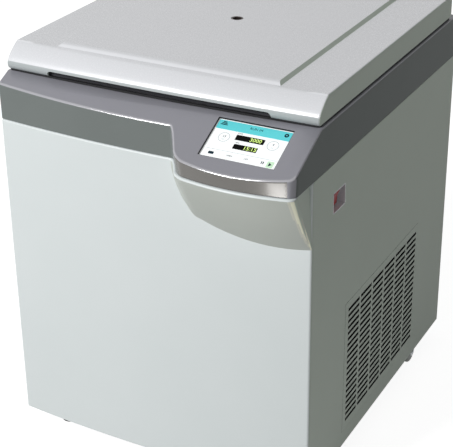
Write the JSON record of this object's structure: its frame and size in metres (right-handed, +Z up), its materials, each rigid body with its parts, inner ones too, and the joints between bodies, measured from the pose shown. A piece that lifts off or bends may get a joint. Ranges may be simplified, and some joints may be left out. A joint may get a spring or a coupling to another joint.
{
  "type": "refrigerated centrifuge",
  "caption": "Floor-standing refrigerated centrifuge with a touch screen on a raised front fascia, a rear-hinged lid, a swing-out rotor, a side vent and a mains switch.",
  "frame": {"origin": "on the floor, under the middle of the whole object", "axes": "+X to the right as seen from the front, +Y to the rear, +Z up"},
  "size_m": [0.7, 0.88, 0.905],
  "materials": {
    "painted_frame": "satin",
    "white_moulding": "gloss",
    "cover_moulding": "satin",
    "fascia_moulding": "satin",
    "panel_paint": "satin",
    "vent_paint": "satin",
    "screen_face": "gloss",
    "circuit_board": "satin",
    "black_moulding": "satin",
    "red_moulding": "gloss",
    "zinc_steel": "satin",
    "chrome_rod": "polished",
    "bowl_steel": "satin",
    "liner_steel": "satin",
    "barrel_steel": "matte",
    "black_rubber": "matte",
    "grey_tyre": "satin",
    "copper_pipe": "gloss",
    "foam": "matte",
    "cast_alloy": "satin",
    "bucket_alloy": "satin",
    "black_paint": "satin",
    "port_glass": "gloss"
  },
  "bodies": {
    "cabinet": {"base_frame": "painted_frame", "top_frame": "painted_frame", "front_cover": "cover_moulding", "left_side_panel": "panel_paint", "right_side_panel": "panel_paint", "vent_panel": "vent_paint", "rear_panel": "panel_paint", "top_fascia": "fascia_moulding", "touch_screen": "screen_face", "control_board": "circuit_board", "switch_housing": "black_moulding", "rear_roller_bracket_left": "zinc_steel", "rear_roller_bracket_right": "zinc_steel", "hinge_bracket_left": "zinc_steel", "hinge_bracket_right": "zinc_steel", "top_deck": "painted_frame", "chamber_bowl": "bowl_steel", "chamber_gasket": "black_rubber", "evaporator_coil": "copper_pipe", "insulation_shell": "foam", "safety_barrel": "barrel_steel", "mid_plate": "painted_frame", "motor_damper_ring": "black_rubber", "motor_housing": "cast_alloy", "compressor": "black_paint", "condenser": "cast_alloy", "fan_shroud": "painted_frame", "drive_inverter": "cast_alloy", "discharge_line": "copper_pipe", "liquid_line": "copper_pipe", "suction_line": "copper_pipe", "mains_inlet": "black_moulding", "lock_housing": "black_moulding"},
    "lid": {"lid_shell": "white_moulding", "lid_liner": "liner_steel", "lid_insulation": "foam", "lid_port_bushing": "black_moulding", "lid_port_window": "port_glass", "hinge_leaf_left": "zinc_steel", "hinge_leaf_right": "zinc_steel", "lid_striker_left": "zinc_steel", "lid_striker_right": "zinc_steel"},
    "rotor": {"drive_shaft": "zinc_steel", "rotor_cross": "cast_alloy", "rotor_knob": "black_moulding"},
    "bucket_1": {"rotor_bucket_1": "bucket_alloy"},
    "bucket_2": {"rotor_bucket_2": "bucket_alloy"},
    "bucket_3": {"rotor_bucket_3": "bucket_alloy"},
    "bucket_4": {"rotor_bucket_4": "bucket_alloy"},
    "fan": {"condenser_fan": "black_moulding"},
    "wheel_left": {"rear_wheel_left": "grey_tyre"},
    "wheel_right": {"rear_wheel_right": "grey_tyre"},
    "rocker": {"power_rocker": "red_moulding"},
    "lock": {"lock_slider": "zinc_steel"},
    "foot_left": {"front_foot_left": "black_rubber"},
    "foot_right": {"front_foot_right": "black_rubber"},
    "cylinder_left": {"gas_cylinder_left": "black_paint"},
    "cylinder_right": {"gas_cylinder_right": "black_paint"},
    "rod_left": {"gas_rod_left": "chrome_rod"},
    "rod_right": {"gas_rod_right": "chrome_rod"}
  },
  "joints": [
    {"name": "lid_hinge", "type": "hinge", "parent": "cabinet", "child": "lid", "pos_m": [0, 0.422, 0.857], "axis": [-1, 0, 0], "range_deg": [0, 65]},
    {"name": "rotor_spin", "type": "hinge", "parent": "cabinet", "child": "rotor", "pos_m": [0, 0.035, 0.665], "axis": [0, 0, 1], "continuous": true},
    {"name": "bucket_1_swing", "type": "hinge", "parent": "rotor", "child": "bucket_1", "pos_m": [0.112, 0.035, 0.665], "axis": [0, -1, 0], "range_deg": [0, 90]},
    {"name": "bucket_2_swing", "type": "hinge", "parent": "rotor", "child": "bucket_2", "pos_m": [0, 0.147, 0.665], "axis": [1, 0, 0], "range_deg": [0, 90]},
    {"name": "bucket_3_swing", "type": "hinge", "parent": "rotor", "child": "bucket_3", "pos_m": [-0.112, 0.035, 0.665], "axis": [0, 1, 0], "range_deg": [0, 90]},
    {"name": "bucket_4_swing", "type": "hinge", "parent": "rotor", "child": "bucket_4", "pos_m": [0, -0.077, 0.665], "axis": [-1, 0, 0], "range_deg": [0, 90]},
    {"name": "fan_spin", "type": "hinge", "parent": "cabinet", "child": "fan", "pos_m": [0.2667, 0.045, 0.2328], "axis": [1, 0, 0], "continuous": true},
    {"name": "wheel_left_spin", "type": "hinge", "parent": "cabinet", "child": "wheel_left", "pos_m": [-0.325, 0.296, 0.027], "axis": [1, 0, 0], "continuous": true},
    {"name": "wheel_right_spin", "type": "hinge", "parent": "cabinet", "child": "wheel_right", "pos_m": [0.325, 0.296, 0.027], "axis": [1, 0, 0], "continuous": true},
    {"name": "rocker_tilt", "type": "hinge", "parent": "cabinet", "child": "rocker", "pos_m": [0.334, -0.214, 0.665], "axis": [0, -1, 0], "range_deg": [0, 24]},
    {"name": "lock_slide", "type": "slide", "parent": "cabinet", "child": "lock", "axis": [1, 0, 0], "range_m": [0, 0.012]},
    {"name": "foot_left_screw", "type": "slide", "parent": "cabinet", "child": "foot_left", "axis": [0, 0, -1], "range_m": [-0.006, 0.012]},
    {"name": "cylinder_left_swing", "type": "hinge", "parent": "cabinet", "child": "cylinder_left", "pos_m": [-0.29, 0.415, 0.74], "axis": [-1, 0, 0], "range_deg": [0, 25]},
    {"name": "rod_left_slide", "type": "slide", "parent": "cylinder_left", "child": "rod_left", "axis": [0, -0.6276, 0.7785], "range_m": [0, 0.067]},
    {"name": "foot_right_screw", "type": "slide", "parent": "cabinet", "child": "foot_right", "axis": [0, 0, -1], "range_m": [-0.006, 0.012]},
    {"name": "cylinder_right_swing", "type": "hinge", "parent": "cabinet", "child": "cylinder_right", "pos_m": [0.29, 0.415, 0.74], "axis": [-1, 0, 0], "range_deg": [0, 25]},
    {"name": "rod_right_slide", "type": "slide", "parent": "cylinder_right", "child": "rod_right", "axis": [0, -0.6276, 0.7785], "range_m": [0, 0.067]}
  ],
  "couplings": [
    {"joint": "cylinder_left_swing", "follows": "lid_hinge", "ratio": 0.38283},
    {"joint": "rod_left_slide", "follows": "lid_hinge", "m_per_rad": 0.058837},
    {"joint": "cylinder_right_swing", "follows": "lid_hinge", "ratio": 0.38283},
    {"joint": "rod_right_slide", "follows": "lid_hinge", "m_per_rad": 0.058837}
  ]
}
